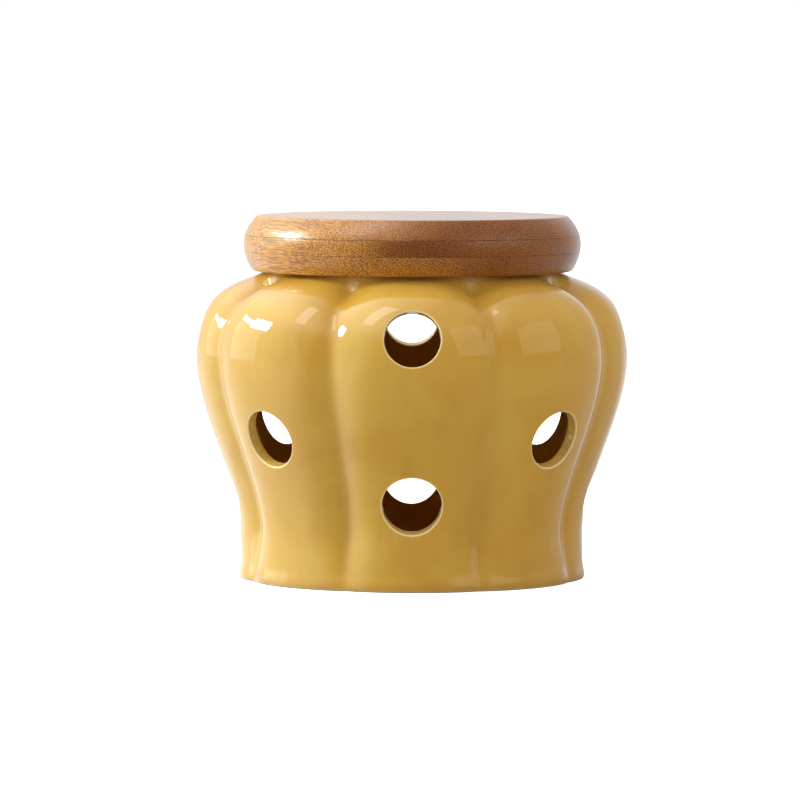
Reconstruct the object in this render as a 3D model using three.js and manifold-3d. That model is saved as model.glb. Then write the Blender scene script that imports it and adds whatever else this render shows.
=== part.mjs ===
// Garlic keeper: a lobed stoneware jar with vent holes, and a lift-off lid of glued bamboo board.
// Millimetres, +Z up. The origin is on the ground under the middle of the foot. The front faces -Y.

import * as THREE from 'three';
import { mergeVertices } from 'three/addons/utils/BufferGeometryUtils.js';
import Module from 'manifold-3d';

const wasm = await Module();
wasm.setup();

// Jar outline, on the ridge of a lobe
const footRadius = 52.2;
const waistRadius = 51.65;
const bellyRadius = 65;
const footFlareHeight = 5.5;
const waistHeight = 14.1;
const flankHeight = 53.1;
const shoulderHeight = 25.2;
const mouthRadius = 40.4;
const lipWidth = 3.6;
const lipEdgeRound = 0.9;

// Jar wall, floor and foot
const wall = 3.6;
const floorThickness = 4;
const floorFillet = 7;
const footRingWidth = 5;
const footRingHeight = 1.8;
const footEdgeRound = 0.8;

// Lobes: the creases between them deepen from the foot, stay deep over the shoulder and end beside the lip
const lobeCount = 8;
const creaseDepth = 3.3;
const footCreaseDepth = 1.2;
const shoulderCreaseDepth = 4;
const creaseGrowHeight = 18;
const creaseFadeWidth = 3.5;
const lobeSquareness = 3.2;
const insideDepthShare = 0.85;
const insideSquareness = 2.4;

// Vent holes: two on every other lobe, one on the lobes between
const topVentRadius = 8.25;
const lowVentRadius = 8.75;
const topVentShare = 0.23;
const middleVentShare = 0.572;
const bottomVentShare = 0.212;
const cutOverrun = 3;

// Curve handles, as shares of the height or width of the stretch that they shape
const waistHandleShare = 0.29;
const bellyHandleShare = 0.33;
const shoulderHandleShare = 0.845;
const lipHandleShare = 0.355;
const lipSlope = THREE.MathUtils.degToRad(30);

// Lid board: three plies, with a barrel edge turned across all of them
const topPlyThickness = 5.9;
const middlePlyThickness = 4.8;
const bottomPlyThickness = 5.9;
const lidOverhang = 6.75;
const lidTopDraw = 3.95;
const lidBaseDraw = 2.6;
const lidBaseChamfer = 0.8;

// Lid register: the plug under the board, and the ring in its groove that holds the lid snug
const plugGap = 2.4;
const plugTail = 4.4;
const plugChamfer = 1.2;
const grooveDrop = 1;
const grooveDepth = 2;
const ringGap = 0.3;
const ringLipHeight = 1;
const ringLipSpacing = 0.9;
const ringTipHeight = 0.5;

// Facets
const lobeSteps = 10;
const flankSteps = 10;
const shoulderSteps = 12;
const filletSteps = 3;
const insideSteps = 6;
const ventSegments = 24;
const boardSegments = 64;
const registerSegments = 48;
const plyEdgeSteps = 4;

// Places that follow from the sizes
const bellyHeight = waistHeight + flankHeight;
const jarHeight = bellyHeight + shoulderHeight;
const lipRadius = mouthRadius + lipWidth;
const floorHeight = footRingHeight + floorThickness;
const plugRadius = mouthRadius - plugGap;
const ringHeight = 2 * ringLipHeight + ringLipSpacing;
const grooveTop = jarHeight - grooveDrop;
const grooveBottom = grooveTop - ringHeight - ringGap;
const plugBottom = grooveBottom - plugTail;
const lidRadius = lipRadius + lidOverhang;
const lidThickness = topPlyThickness + middlePlyThickness + bottomPlyThickness;
const lidWidestHeight = jarHeight + lidThickness / 2;

// Makes a solid of a closed geometry: shared vertices merged, faces at the axis that have no area left out
function solidOf(geometry) {
  geometry.deleteAttribute('normal');
  geometry.deleteAttribute('uv');
  const merged = mergeVertices(geometry);
  const corners = merged.index.array;
  const faces = [];
  for (let i = 0; i < corners.length; i += 3) {
    const [a, b, c] = corners.slice(i, i + 3);
    if (a !== b && b !== c && c !== a) faces.push(a, b, c);
  }
  return new wasm.Manifold(new wasm.Mesh({
    numProp: 3,
    vertProperties: new Float32Array(merged.attributes.position.array),
    triVerts: new Uint32Array(faces),
  }));
}

// Turns a solid into a named, coloured mesh
function meshOf(name, solid, material) {
  const { vertProperties, triVerts } = solid.getMesh();
  const geometry = new THREE.BufferGeometry();
  geometry.setAttribute('position', new THREE.BufferAttribute(vertProperties, 3));
  geometry.setIndex(new THREE.BufferAttribute(triVerts, 1));
  geometry.computeVertexNormals();
  const mesh = new THREE.Mesh(geometry, material);
  mesh.name = name;
  return mesh;
}

// Revolves an outline of (radius, height) points about +Z. Its first segment line faces the front.
function revolve(outline, segments) {
  const geometry = new THREE.LatheGeometry(outline, segments);
  geometry.rotateX(Math.PI / 2);
  return geometry;
}

// Points on an arc about a centre, between two shares of a full turn
function arc(radius, height, size, startShare, endShare, steps) {
  const points = [];
  for (let i = 0; i <= steps; i++) {
    const angle = Math.PI * 2 * THREE.MathUtils.lerp(startShare, endShare, i / steps);
    points.push(new THREE.Vector2(radius + size * Math.cos(angle), height + size * Math.sin(angle)));
  }
  return points;
}

// The flank swells from the waist to the belly
const flank = new THREE.CubicBezierCurve(
  new THREE.Vector2(waistRadius, waistHeight),
  new THREE.Vector2(waistRadius, waistHeight + waistHandleShare * flankHeight),
  new THREE.Vector2(bellyRadius, bellyHeight - bellyHandleShare * flankHeight),
  new THREE.Vector2(bellyRadius, bellyHeight),
);

// The shoulder closes from the belly to the lip
const lipHandle = lipHandleShare * (bellyRadius - lipRadius);
const shoulder = new THREE.CubicBezierCurve(
  new THREE.Vector2(bellyRadius, bellyHeight),
  new THREE.Vector2(bellyRadius, bellyHeight + shoulderHandleShare * shoulderHeight),
  new THREE.Vector2(
    lipRadius + lipHandle * Math.cos(lipSlope),
    jarHeight - lipHandle * Math.sin(lipSlope),
  ),
  new THREE.Vector2(lipRadius, jarHeight),
);

// How deep a crease is pressed in at a place on the ridge's outline
function creaseDepthAt(place) {
  const grown = THREE.MathUtils.smoothstep(place.y, 0, creaseGrowHeight);
  const depth = THREE.MathUtils.lerp(footCreaseDepth, creaseDepth, grown);
  if (place.y < bellyHeight) return depth;
  const closing = THREE.MathUtils.smoothstep(place.y, bellyHeight, jarHeight);
  const kept = THREE.MathUtils.smoothstep(place.x, lipRadius, lipRadius + creaseFadeWidth);
  return THREE.MathUtils.lerp(depth, shoulderCreaseDepth, closing) * kept;
}

// Rows of the wall along a curve, a thickness in from the outside. Each has its place on the ridge of
// a lobe and how the crease presses it, square to the curve, so that the lobes puff up under the lid.
function wallRows(curve, thickness, depthShare, steps) {
  const rows = [];
  for (let i = 0; i <= steps; i++) {
    const outside = curve.getPoint(i / steps);
    const along = curve.getTangent(i / steps);
    const inward = new THREE.Vector2(-along.y, along.x);
    rows.push({
      place: outside.clone().addScaledVector(inward, thickness),
      press: inward.multiplyScalar(depthShare * creaseDepthAt(outside)),
    });
  }
  return rows;
}

// Rows near the ground, which the crease presses straight towards the axis
function footRows(places, depthShare) {
  return places.map((place) => ({
    place,
    press: new THREE.Vector2(-depthShare * creaseDepthAt(place), 0),
  }));
}

// The row at which an outline ends on the axis
function axisRow(height) {
  return { place: new THREE.Vector2(0, height), press: new THREE.Vector2() };
}

// Revolves rows and presses the lobes into them. Facets crowd towards a crease, where the wall turns most.
function lobedSolid(rows, squareness) {
  const geometry = revolve(rows.map((row) => row.place), lobeCount * lobeSteps);
  const position = geometry.attributes.position;
  const halfLobe = Math.PI / lobeCount;
  for (let i = 0; i < position.count; i++) {
    const { place, press } = rows[i % rows.length];
    const column = Math.floor(i / rows.length);
    const lobe = Math.floor((column + lobeSteps / 2) / lobeSteps);
    const share = Math.sin((column - lobe * lobeSteps) / lobeSteps * Math.PI);
    const angle = (2 * lobe + share) * halfLobe;
    const law = Math.abs(share) ** squareness;
    const radius = place.x + law * press.x;
    position.setXYZ(i, radius * Math.sin(angle), -radius * Math.cos(angle), place.y + law * press.y);
  }
  return solidOf(geometry);
}

// The jar's outside, from the ground to the lip, closed over the mouth
function jarOutside() {
  const foot = [
    ...arc(footRadius - footEdgeRound, footEdgeRound, footEdgeRound, -0.25, 0, filletSteps),
    new THREE.Vector2(waistRadius, footFlareHeight),
  ];
  return lobedSolid([
    axisRow(0),
    ...footRows(foot, 1),
    ...wallRows(flank, 0, 1, flankSteps),
    ...wallRows(shoulder, 0, 1, shoulderSteps).slice(1),
    axisRow(jarHeight),
  ], lobeSquareness);
}

// The hollow under the mouth follows the outside, with rounder lobes
function jarHollow() {
  const sides = wallRows(flank, wall, insideDepthShare, insideSteps);
  const top = wallRows(shoulder, wall, insideDepthShare, insideSteps);
  const floorRadius = sides[0].place.x - floorFillet;
  const fillet = arc(floorRadius, floorHeight + floorFillet, floorFillet, -0.25, 0, filletSteps);
  return lobedSolid([
    axisRow(floorHeight),
    ...footRows(fillet, insideDepthShare),
    ...sides.slice(1),
    ...top.slice(1),
    axisRow(top[insideSteps].place.y),
  ], insideSquareness);
}

// The round mouth, its inner edge eased
function mouthCutter() {
  const eased = mouthRadius + lipEdgeRound;
  return solidOf(revolve([
    new THREE.Vector2(0, jarHeight - 2 * wall),
    new THREE.Vector2(mouthRadius, jarHeight - 2 * wall),
    ...arc(eased, jarHeight - lipEdgeRound, lipEdgeRound, 0.5, 0.25, filletSteps),
    new THREE.Vector2(eased, jarHeight + cutOverrun),
    new THREE.Vector2(0, jarHeight + cutOverrun),
  ], registerSegments));
}

// The shallow recess inside the foot ring
function footRecess() {
  const radius = footRadius - footEdgeRound - footRingWidth;
  return solidOf(revolve([
    new THREE.Vector2(0, -cutOverrun),
    new THREE.Vector2(radius, -cutOverrun),
    new THREE.Vector2(radius, 0),
    new THREE.Vector2(radius - footRingHeight, footRingHeight),
    new THREE.Vector2(0, footRingHeight),
  ], registerSegments));
}

// A round cutter that goes through the wall square to it, at a share of a stretch of the outline
function ventCutter(lobe, curve, share, size) {
  const place = curve.getPointAt(share);
  const along = curve.getTangentAt(share);
  const azimuth = 2 * Math.PI * lobe / lobeCount;
  const out = new THREE.Vector3(along.y * Math.sin(azimuth), -along.y * Math.cos(azimuth), -along.x);
  const cutter = new THREE.CylinderGeometry(size, size, 2 * (wall + cutOverrun), ventSegments);
  cutter.rotateX(Math.PI / 2);
  cutter.lookAt(out);
  cutter.translate(place.x * Math.sin(azimuth), -place.x * Math.cos(azimuth), place.y);
  return solidOf(cutter);
}

// The jar: one fired piece
function jarBody() {
  let jar = jarOutside().subtract(jarHollow()).subtract(mouthCutter()).subtract(footRecess());
  for (let lobe = 0; lobe < lobeCount; lobe++) {
    if (lobe % 2 === 0) {
      jar = jar.subtract(ventCutter(lobe, shoulder, topVentShare, topVentRadius));
      jar = jar.subtract(ventCutter(lobe, flank, bottomVentShare, lowVentRadius));
    } else {
      jar = jar.subtract(ventCutter(lobe, flank, middleVentShare, lowVentRadius));
    }
  }
  return jar;
}

// The radius of the lid's barrel edge at a height
function lidEdge(height) {
  const rise = (height - lidWidestHeight) / (lidThickness / 2);
  const draw = rise > 0 ? lidTopDraw : lidBaseDraw;
  return lidRadius - draw * rise ** 2;
}

// One ply of the board, a disc whose edge is its stretch of the barrel
function plySolid(bottom, thickness, chamfer) {
  const outline = [new THREE.Vector2(0, bottom)];
  if (chamfer > 0) outline.push(new THREE.Vector2(lidEdge(bottom + chamfer) - chamfer, bottom));
  for (let i = 0; i <= plyEdgeSteps; i++) {
    const height = THREE.MathUtils.lerp(bottom + chamfer, bottom + thickness, i / plyEdgeSteps);
    outline.push(new THREE.Vector2(lidEdge(height), height));
  }
  outline.push(new THREE.Vector2(0, bottom + thickness));
  return solidOf(revolve(outline, boardSegments));
}

// The plug, a turned disc under the board with a groove round it
function plugSolid() {
  return solidOf(revolve([
    new THREE.Vector2(0, plugBottom),
    new THREE.Vector2(plugRadius - plugChamfer, plugBottom),
    new THREE.Vector2(plugRadius, plugBottom + plugChamfer),
    new THREE.Vector2(plugRadius, grooveBottom),
    new THREE.Vector2(plugRadius - grooveDepth, grooveBottom),
    new THREE.Vector2(plugRadius - grooveDepth, grooveTop),
    new THREE.Vector2(plugRadius, grooveTop),
    new THREE.Vector2(plugRadius, jarHeight),
    new THREE.Vector2(0, jarHeight),
  ], registerSegments));
}

// The ring: a band that lies on the groove's lower side, with two soft lips that reach for the mouth
function sealRing() {
  const inner = plugRadius - grooveDepth + ringGap;
  const tip = mouthRadius - ringGap;
  const outline = [new THREE.Vector2(inner, grooveBottom)];
  for (const lip of [0, 1]) {
    const lipBottom = grooveBottom + lip * (ringLipHeight + ringLipSpacing);
    const middle = lipBottom + ringLipHeight / 2;
    outline.push(new THREE.Vector2(plugRadius, lipBottom));
    outline.push(new THREE.Vector2(tip, middle - ringTipHeight / 2));
    outline.push(new THREE.Vector2(tip, middle + ringTipHeight / 2));
    outline.push(new THREE.Vector2(plugRadius, lipBottom + ringLipHeight));
  }
  outline.push(new THREE.Vector2(inner, grooveBottom + ringHeight));
  outline.push(new THREE.Vector2(inner, grooveBottom));
  return solidOf(revolve(outline, registerSegments));
}

const glaze = new THREE.MeshStandardMaterial({ color: 0xc39443, roughness: 0.12, metalness: 0 });
const paleBamboo = new THREE.MeshStandardMaterial({ color: 0xa0703f, roughness: 0.45, metalness: 0 });
const midBamboo = new THREE.MeshStandardMaterial({ color: 0x8c5a2c, roughness: 0.45, metalness: 0 });
const silicone = new THREE.MeshStandardMaterial({ color: 0xe4e2dc, roughness: 0.5, metalness: 0 });

const middlePlyHeight = jarHeight + bottomPlyThickness;
const topPlyHeight = middlePlyHeight + middlePlyThickness;

const keeper = new THREE.Group();
keeper.add(meshOf('jar_body', jarBody(), glaze));
keeper.add(meshOf('lid_bottom_ply', plySolid(jarHeight, bottomPlyThickness, lidBaseChamfer), paleBamboo));
keeper.add(meshOf('lid_middle_ply', plySolid(middlePlyHeight, middlePlyThickness, 0), midBamboo));
keeper.add(meshOf('lid_top_ply', plySolid(topPlyHeight, topPlyThickness, 0), paleBamboo));
keeper.add(meshOf('lid_plug', plugSolid(), paleBamboo));
keeper.add(meshOf('lid_seal_ring', sealRing(), silicone));

export default keeper;
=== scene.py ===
import math
from bisect import bisect_left

import bmesh
import bpy
from mathutils import Matrix, Vector
from mathutils.geometry import interpolate_bezier


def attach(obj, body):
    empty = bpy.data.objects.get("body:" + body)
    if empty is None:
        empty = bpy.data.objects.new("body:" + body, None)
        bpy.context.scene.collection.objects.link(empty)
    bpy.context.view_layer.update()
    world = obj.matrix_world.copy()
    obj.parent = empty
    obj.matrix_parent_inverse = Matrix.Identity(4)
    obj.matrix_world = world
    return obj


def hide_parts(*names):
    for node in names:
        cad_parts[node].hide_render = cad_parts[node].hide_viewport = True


# Garlic keeper: the finished look of a lobed, vented jar and its bamboo lid. Metres, front to -Y

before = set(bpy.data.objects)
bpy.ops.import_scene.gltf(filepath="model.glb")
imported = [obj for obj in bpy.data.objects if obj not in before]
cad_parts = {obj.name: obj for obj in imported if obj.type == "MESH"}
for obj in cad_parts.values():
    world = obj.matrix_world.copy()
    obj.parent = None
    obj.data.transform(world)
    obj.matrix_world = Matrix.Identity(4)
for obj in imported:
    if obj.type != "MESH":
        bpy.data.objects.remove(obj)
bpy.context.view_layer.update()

MM = 0.001
TURN = 2 * math.pi
MERGE = MM / 1000

# Camera, as the photograph was taken: a long lens, a little above the object
CAMERA_PLACE = Vector((-3.55, -1655.8, 162.9)) * MM
CAMERA_PITCH = 0.0661
CAMERA_ROLL = 0.0025
CAMERA_LENS = 247.7
SENSOR_WIDTH = 36
CAMERA_NEAR = 0.1
CAMERA_FAR = 60

# Jar outline, on the ridge of a lobe
FOOT_RADIUS = 52.2 * MM
WAIST_RADIUS = 51.65 * MM
BELLY_RADIUS = 65 * MM
FLARE_HEIGHT = 5.5 * MM
WAIST_HEIGHT = 14.1 * MM
FLANK_HEIGHT = 53.1 * MM
SHOULDER_HEIGHT = 25.2 * MM
MOUTH_RADIUS = 40.4 * MM
LIP_WIDTH = 3.6 * MM
LIP_ROUND = 0.9 * MM
BELLY_HEIGHT = WAIST_HEIGHT + FLANK_HEIGHT
JAR_HEIGHT = BELLY_HEIGHT + SHOULDER_HEIGHT
LIP_RADIUS = MOUTH_RADIUS + LIP_WIDTH
WAIST_HANDLE_SHARE = 0.29
BELLY_HANDLE_SHARE = 0.33
SHOULDER_HANDLE_SHARE = 0.845
LIP_HANDLE_SHARE = 0.355
LIP_SLOPE = math.radians(30)

# Jar wall, floor and foot
WALL = 3.6 * MM
FLOOR_HEIGHT = 5.8 * MM
FLOOR_FILLET = 7 * MM
RING_WIDTH = 5 * MM
RECESS_HEIGHT = 1.8 * MM
FOOT_ROUND = 0.8 * MM

# Lobes and the creases between them
LOBES = 8
CREASE_DEPTH = 3.3 * MM
FOOT_CREASE_DEPTH = 1.2 * MM
CREASE_GROW_HEIGHT = 18 * MM
SHOULDER_CREASE_DEPTH = 4 * MM
CREASE_FADE_WIDTH = 3.5 * MM
LOBE_SQUARENESS = 3.2
CREASE_ROUND_SHARE = 0.1
CREASE_SHADE_POWER = 6
INSIDE_DEPTH_SHARE = 0.85
INSIDE_SQUARENESS = 2.4

# Vent holes: each is (lobe, height, radius) on the first quarter of the jar
TOP_VENT_RADIUS = 8.25 * MM
LOW_VENT_RADIUS = 8.75 * MM
VENT_LIP = 0.65 * MM
VENT_INSIDE_LIP = 0.5 * MM
TOP_VENT_HEIGHT = 75.4 * MM
MIDDLE_VENT_HEIGHT = 44.3 * MM
BOTTOM_VENT_HEIGHT = 25.6 * MM
QUARTER_VENTS = (
    (0, TOP_VENT_HEIGHT, TOP_VENT_RADIUS),
    (0, BOTTOM_VENT_HEIGHT, LOW_VENT_RADIUS),
    (1, MIDDLE_VENT_HEIGHT, LOW_VENT_RADIUS),
)

# Lid: three plies of bamboo glued one on the other, with a turned edge
LID_WIDEST_RADIUS = 50.75 * MM
LID_WIDEST_HEIGHT = 100.7 * MM
LID_HALF_HEIGHT = 8.3 * MM
LID_TOP_DRAW = 3.95 * MM
LID_BASE_DRAW = 2.6 * MM
BOTTOM_JOINT_HEIGHT = 98.3 * MM
TOP_JOINT_HEIGHT = 103.1 * MM
LID_TOP_HEIGHT = 109 * MM
TOP_ARRIS = 0.7 * MM
BASE_ARRIS = 0.8 * MM
JOINT_ARRIS = 0.12 * MM
FIBRE_TURN = math.radians(35)
FIBRE_WAY = Vector((math.sin(FIBRE_TURN), -math.cos(FIBRE_TURN), 0))

# Plug under the lid, and the soft ring in its groove
PLUG_RADIUS = 38 * MM
PLUG_BOTTOM = 83.8 * MM
PLUG_CHAMFER = 1.2 * MM
PLUG_ARRIS = 0.2 * MM
GROOVE_DEPTH = 2 * MM
GROOVE_BOTTOM = 88.2 * MM
GROOVE_TOP = 91.4 * MM
RING_INNER_RADIUS = 36.3 * MM
RING_TIP_RADIUS = 40.1 * MM
RING_LIP_HEIGHT = 1 * MM
RING_LIP_SPACING = 0.9 * MM
RING_LIP_TAPER_SHARE = 0.25
RING_EASE = 0.18 * MM

# Mesh fineness
CURVE_POINTS = 200
EASE_STEPS = 5
SMALL_EASE_STEPS = 4
HALF_LOBE_COLUMNS = 20
QUARTER_COLUMNS = 4 * HALF_LOBE_COLUMNS
CREASE_CROWDING = 0.6
ROW_STEP = 1.4 * MM
SKIN_STEP = ROW_STEP / 4
JAR_DISC_RINGS = 8
FILLET_STEPS = 9
VENT_HALF_WIDTH = 11.6 * MM
VENT_HALF_ROWS = 8
VENT_LIP_RINGS = 6
VENT_INSIDE_LIP_RINGS = 4
VENT_OUTER_SHARES = (0.3, 0.55, 0.75, 0.9, 1)
VENT_BORE_SHARES = (0.3, 0.65)
VENT_INNER_SHARES = (0.3, 0.65)
SKIN_TRIES = 6
PRESS_TRIES = 3
LID_STEPS = 320
PLY_EDGE_ROWS = 9
ARRIS_MARGIN = 3
PLY_DISC_RINGS = 6
RING_STEPS = 160
PLUG_DISC_RINGS = 5

# Glaze colours
OCHRE = (0.64, 0.335, 0.045, 1)
DEEP_OCHRE = (0.45, 0.205, 0.02, 1)
PALE_OCHRE = (0.67, 0.38, 0.06, 1)
# Pale lip colour: thin glaze with a painted highlight
THIN_GLAZE_AND_HIGHLIGHT = (0.9, 0.68, 0.3, 1)
# Bore glaze, painted paler than the outside glaze as painted light in the vents
BORE_GLAZE_AND_PAINTED_LIGHT = (0.96, 0.58, 0.12, 1)
BORE_CLAY = (0.4, 0.17, 0.035, 1)
BARE_CLAY = (0.62, 0.52, 0.36, 1)
CLAY_SPECKLE = (0.4, 0.3, 0.18, 1)
# Inside glaze, painted darker and browner than the outside as painted shade inside the jar
INNER_GLAZE_AND_SHADE = (0.62, 0.28, 0.012, 1)
INNER_DEEP_AND_SHADE = (0.48, 0.19, 0.008, 1)

# Glaze patterns: how many cells to the metre, and how the cells turn into shares of a colour
CLOUD_CELLS = 34
CLOUD_STOPS = ((0.34, 0), (0.62, 1))
WASH_CELLS = 120
WASH_STRETCH = (1, 1, 0.35)
WASH_STOPS = ((0.5, 0), (0.75, 0.18))
GRAIN_CELLS = 900
GRAIN_STOPS = ((0.62, 0), (0.8, 0.12))
SPECKLE_STOPS = ((0.45, 0), (0.7, 0.5))
BORE_CELLS = 1100
BORE_STOPS = ((0.42, 0), (0.66, 0.35))
WAVE_CELLS = 55
WAVE_DEPTH = 0.4 * MM
# Deeper ochre in the creases: pooled glaze and painted shade
CREASE_POOL_AND_SHADE_SHARE = 0.12
# Darker in streaks towards the foot, over its lowest few millimetres
FOOT_DARKENING_HEIGHT = 4 * MM
FOOT_DARKENING_SHARE = 0.7
# Shares of the pale lip colour, thin glaze with a painted highlight, on the mouth and on a vent lip's edge
# rings
MOUTH_PALE_SHARE = 0.6
LIP_EDGE_PALE_SHARE = 0.4
GLAZE_ROUGHNESS = 0.4
INSIDE_ROUGHNESS = 0.75
INSIDE_DULLNESS = 0.85

# Bamboo colours, and each ply's tone from the left of the lid (0) to its right (1), where 1 is pale. The
# pale left, where the key lamp lights the lid, is in part painted light
PALE_BAMBOO = (0.78, 0.325, 0.033, 1)
DARK_BAMBOO = (0.24, 0.048, 0.003, 1)
FIBRE_DARK = (0.08, 0.02, 0.001, 1)
TOP_PLY_TONES_AND_LIGHT = ((0, 1), (0.2, 0.85), (0.4, 0.45), (0.6, 0.12), (0.75, 0.2), (0.85, 0.14), (1, 0.3))
MIDDLE_PLY_TONES_AND_LIGHT = ((0, 1), (0.32, 0.68), (0.42, 0.15), (0.55, 0), (0.75, 0.2), (1, 0.22))
BOTTOM_PLY_TONES_AND_LIGHT = ((0, 1), (0.25, 0.78), (0.5, 0.66), (0.62, 0.48), (0.75, 0.24), (1, 0.22))

# Bamboo patterns
FIBRE_SPACING = 0.46 * MM
FIBRE_RANDOMNESS = 0.75
FIBRE_STRETCH = (1, 0.05, 1)
FIBRE_DOT_STOPS = ((0.24, 1), (0.46, 0))
FIBRE_WANDER_CELLS = 300
FIBRE_STRENGTH_CELLS = 420
FIBRE_STRENGTH_STOPS = ((0.3, 0.75), (0.7, 1))
SIDE_CUT_DOTS = 0.6
STREAK_CELLS = 900
STREAK_STRETCH = 0.03
STREAK_STOPS = ((0.48, 0), (0.66, 0.6))
TONE_DRIFT_CELLS = 60
TONE_DRIFT = 0.12
STRIP_WIDTH = 20 * MM
STRIP_CONTRAST = 0.16
GLUE_HALF_THICKNESS = 0.1 * MM
GLUE_DARKNESS = 0.55
PORE_DEPTH = 0.02 * MM
FLAT_PORE_SHARE = 0.1
EDGE_ROUGHNESS = 0.3
FLAT_ROUGHNESS = 0.13
EDGE_COAT = 0.7
FLAT_START = 0.95

# How far each ply's pattern is moved from the next, along the fibres, upwards and in strips
PLY_SHIFT = 0.31
PLY_RISE = 0.37
PLY_STRIP_SHIFT = 7.37

# Silicone
SILICONE = (0.78, 0.77, 0.73, 1)
SILICONE_BLOOM = (0.62, 0.61, 0.57, 1)
BLOOM_CELLS = 260
BLOOM_DEPTH = 0.03 * MM

# Room, as gloss and as fill light see it. Spans are of a direction's part to the right, back or up
GLOSS_FRONT = 0.12
GLOSS_LEFT = 1.35
GLOSS_RIGHT = 0.4
FILL_FRONT = 0.45
FILL_LEFT = 1.1
FILL_RIGHT = 0.8
BACK_WALL = 0.88
LEFT_WALL_SPAN = (-0.95, -0.5)
RIGHT_WALL_SPAN = (-0.55, 0.35)
BACK_WALL_SPAN = (0.6, 0.95)
MIDDLE_SPAN = (-0.3, 0.3)
CEILING_RISE_SPAN = (0.35, 0.8)
CEILING_SIDE_SPAN = (-0.7, 0.4)
CEILING_LEFT = 3.0
CEILING_RIGHT = 0.5
CEILING_FILL = 0.85

# Table top: how pale it is to fill light, in gloss and to the camera
TABLE_RADIUS = 25
TABLE_SIDES = 64
TABLE_FILL = 0.6
TABLE_GLOSS = 0.08
TABLE_SEEN = 0.95
TABLE_GLOW = 0.74

# Lamps: (name, azimuth, elevation, distance, width, height, radiance, colour)
LAMP_AIM = Vector((0, 0, 60 * MM))
POWER_PER_RADIANCE = 4
DAYLIGHT = (0.76, 1, 0.92)
WHITE = (1, 1, 1)
LAMPS = (
    ("key_softbox", -95, 26, 1.5, 0.42, 0.26, 33, DAYLIGHT),
    ("key_edge", -113, 25, 1.5, 0.46, 0.13, 9, DAYLIGHT),
    ("left_bounce", -107, 8, 1.6, 0.98, 0.78, 1.1, DAYLIGHT),
    ("ceiling_spot", -50, 60, 1.2, 0.3, 0.8, 2.4, WHITE),
    ("right_bounce", 61, 22, 1.5, 1.3, 0.9, 0.6, WHITE),
)


def lerp(a, b, share):
    return a + (b - a) * share


def smooth(low, high, value):
    """0 below low and 1 above high, with a smooth way between."""
    share = min(max((value - low) / (high - low), 0), 1)
    return share * share * (3 - 2 * share)


def curve(*corners):
    """Points of a cubic curve from its start, two handles and end, each a (radius, height) pair."""
    points = interpolate_bezier(*(Vector((*corner, 0)) for corner in corners), CURVE_POINTS)
    return [(p.x, p.y) for p in points]


def even(points, step):
    """The same line with its points about a step apart."""
    lengths = [0]
    for a, b in zip(points, points[1:]):
        lengths.append(lengths[-1] + math.dist(a, b))
    count = max(round(lengths[-1] / step), 1)
    made = []
    for i in range(count + 1):
        want = lengths[-1] * i / count
        k = min(max(bisect_left(lengths, want), 1), len(points) - 1)
        share = (want - lengths[k - 1]) / (lengths[k] - lengths[k - 1])
        made.append(tuple(lerp(a, b, share) for a, b in zip(points[k - 1], points[k])))
    return made


def bend(start, corner, end, share):
    """A point of the round between two lines that meet at a corner."""
    return start.lerp(corner, share).lerp(corner.lerp(end, share), share)


def eased(before, corner, after, size, steps=EASE_STEPS):
    """A corner of an outline, rounded off."""
    middle = Vector(corner)
    start = middle + (Vector(before) - middle).normalized() * size
    end = middle + (Vector(after) - middle).normalized() * size
    return [tuple(bend(start, middle, end, i / steps)) for i in range(steps + 1)]


def moved_in(points, distance):
    """A line moved in from the outside, square to itself."""
    made = []
    for i, point in enumerate(points):
        a = points[max(i - 1, 0)]
        b = points[min(i + 1, len(points) - 1)]
        length = math.dist(a, b)
        along = ((b[0] - a[0]) / length, (b[1] - a[1]) / length)
        made.append((point[0] - along[1] * distance, point[1] + along[0] * distance))
    return made


flank = curve(
    (WAIST_RADIUS, WAIST_HEIGHT),
    (WAIST_RADIUS, WAIST_HEIGHT + WAIST_HANDLE_SHARE * FLANK_HEIGHT),
    (BELLY_RADIUS, BELLY_HEIGHT - BELLY_HANDLE_SHARE * FLANK_HEIGHT),
    (BELLY_RADIUS, BELLY_HEIGHT),
)
lip_handle = LIP_HANDLE_SHARE * (BELLY_RADIUS - LIP_RADIUS)
shoulder = curve(
    (BELLY_RADIUS, BELLY_HEIGHT),
    (BELLY_RADIUS, BELLY_HEIGHT + SHOULDER_HANDLE_SHARE * SHOULDER_HEIGHT),
    (LIP_RADIUS + lip_handle * math.cos(LIP_SLOPE), JAR_HEIGHT - lip_handle * math.sin(LIP_SLOPE)),
    (LIP_RADIUS, JAR_HEIGHT),
)
flare = curve(
    (FOOT_RADIUS, FOOT_ROUND),
    (FOOT_RADIUS, FLARE_HEIGHT / 2),
    (WAIST_RADIUS, FLARE_HEIGHT / 2),
    (WAIST_RADIUS, FLARE_HEIGHT + FOOT_ROUND),
)
wall_line = even(flank + shoulder[1:], ROW_STEP)
hollow_line = moved_in(wall_line, WALL)


def crease_depth(radius, height):
    """How deep a crease is pressed in, square to the outline, where the ridge has this radius."""
    depth = lerp(FOOT_CREASE_DEPTH, CREASE_DEPTH, smooth(0, CREASE_GROW_HEIGHT, height))
    if height < BELLY_HEIGHT:
        return depth
    depth = lerp(depth, SHOULDER_CREASE_DEPTH, smooth(BELLY_HEIGHT, JAR_HEIGHT, height))
    return depth * smooth(LIP_RADIUS, LIP_RADIUS + CREASE_FADE_WIDTH, radius)


def pressed(line, outside, depth_share):
    """For each point of a line, the way in which a crease presses it: (outwards, upwards).
    The outside line gives the depth, so that both faces of the wall move together."""
    made = []
    for i, (radius, height) in enumerate(outside):
        a = line[max(i - 1, 0)]
        b = line[min(i + 1, len(line) - 1)]
        depth = depth_share * crease_depth(radius, height) / math.dist(a, b)
        made.append(((a[1] - b[1]) * depth, (b[0] - a[0]) * depth))
    return made


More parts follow.
